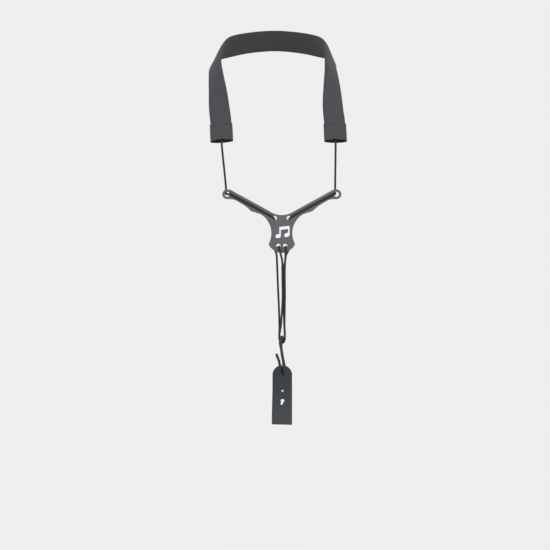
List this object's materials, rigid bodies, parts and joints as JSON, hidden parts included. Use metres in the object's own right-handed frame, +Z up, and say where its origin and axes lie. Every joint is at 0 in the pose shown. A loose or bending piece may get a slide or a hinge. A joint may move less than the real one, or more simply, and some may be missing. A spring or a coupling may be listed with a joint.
{
  "type": "woodwind neck strap",
  "caption": "Padded neck strap with two thin cords, a Y-shaped sliding length adjuster and a leather keyhole tab on a lace for a woodwind instrument's thumb rest.",
  "frame": {"origin": "on the neck band's inner face, at the middle of the nape, where the strap rests on the player's neck", "axes": "+Z up as the strap hangs, -Y towards the strap's front, +X to the viewer's right"},
  "size_m": [0.1542, 0.1314, 0.4415],
  "materials": {
    "band_fabric": "matt woven webbing, dark grey",
    "band_lining": "soft matt knit",
    "band_foam": "closed-cell foam",
    "thread": "polyester sewing thread",
    "cord_braid": "fine round braid, near black",
    "lace_braid": "coarser round braid, near black",
    "yoke_plastic": "moulded, satin grey",
    "emblem_print": "flat white print",
    "tab_leather": "smooth black leather with a slight sheen"
  },
  "bodies": {
    "neck_band": {"neck_band_lining": "band_lining", "neck_band_padding": "band_foam", "neck_band_face": "band_fabric", "end_sleeve_left": "band_fabric", "end_sleeve_right": "band_fabric", "sleeve_seam_left": "thread", "sleeve_seam_right": "thread", "cord_left_sleeve_knot": "cord_braid", "cord_right_sleeve_knot": "cord_braid"},
    "hanging_cords": {"cord_left_upper": "cord_braid", "cord_right_upper": "cord_braid"},
    "yoke": {"yoke_body": "yoke_plastic", "yoke_emblem": "emblem_print", "cord_left_arm": "cord_braid", "cord_right_arm": "cord_braid", "cord_left_end": "cord_braid", "cord_right_end": "cord_braid", "cord_left_stop_knot": "cord_braid", "cord_right_stop_knot": "cord_braid"},
    "cord_loops": {"cord_left_loop": "cord_braid", "cord_right_loop": "cord_braid"},
    "lace": {"lace_loop": "lace_braid"},
    "tab": {"lace_wrap": "lace_braid", "lace_knot": "lace_braid", "lace_tail": "lace_braid", "leather_tab": "tab_leather"}
  },
  "joints": [
    {"name": "drop_swing", "type": "hinge", "parent": "neck_band", "child": "hanging_cords", "pos_m": [0.008, -0.1218, -0.119], "axis": [1, 0, 0], "range_deg": [-50, 25]},
    {"name": "yoke_slide", "type": "slide", "parent": "hanging_cords", "child": "yoke", "axis": [0, 0, 1], "range_m": [-0.1, 0.026], "deforming": ["cord_left_upper", "cord_right_upper"]},
    {"name": "loop_slide", "type": "slide", "parent": "yoke", "child": "cord_loops", "axis": [0, 0, 1], "range_m": [-0.013, 0.05], "deforming": ["cord_left_loop", "cord_right_loop"]},
    {"name": "lace_swing", "type": "hinge", "parent": "cord_loops", "child": "lace", "pos_m": [0.0083, -0.1215, -0.3331], "axis": [1, 0, 0], "range_deg": [-45, 45]},
    {"name": "tab_swing", "type": "hinge", "parent": "lace", "child": "tab", "pos_m": [0.0084, -0.1217, -0.3634], "axis": [1, 0, 0], "range_deg": [-40, 40], "deforming": ["lace_loop"]}
  ],
  "couplings": [
    {"joint": "loop_slide", "follows": "yoke_slide", "ratio": -0.5}
  ]
}
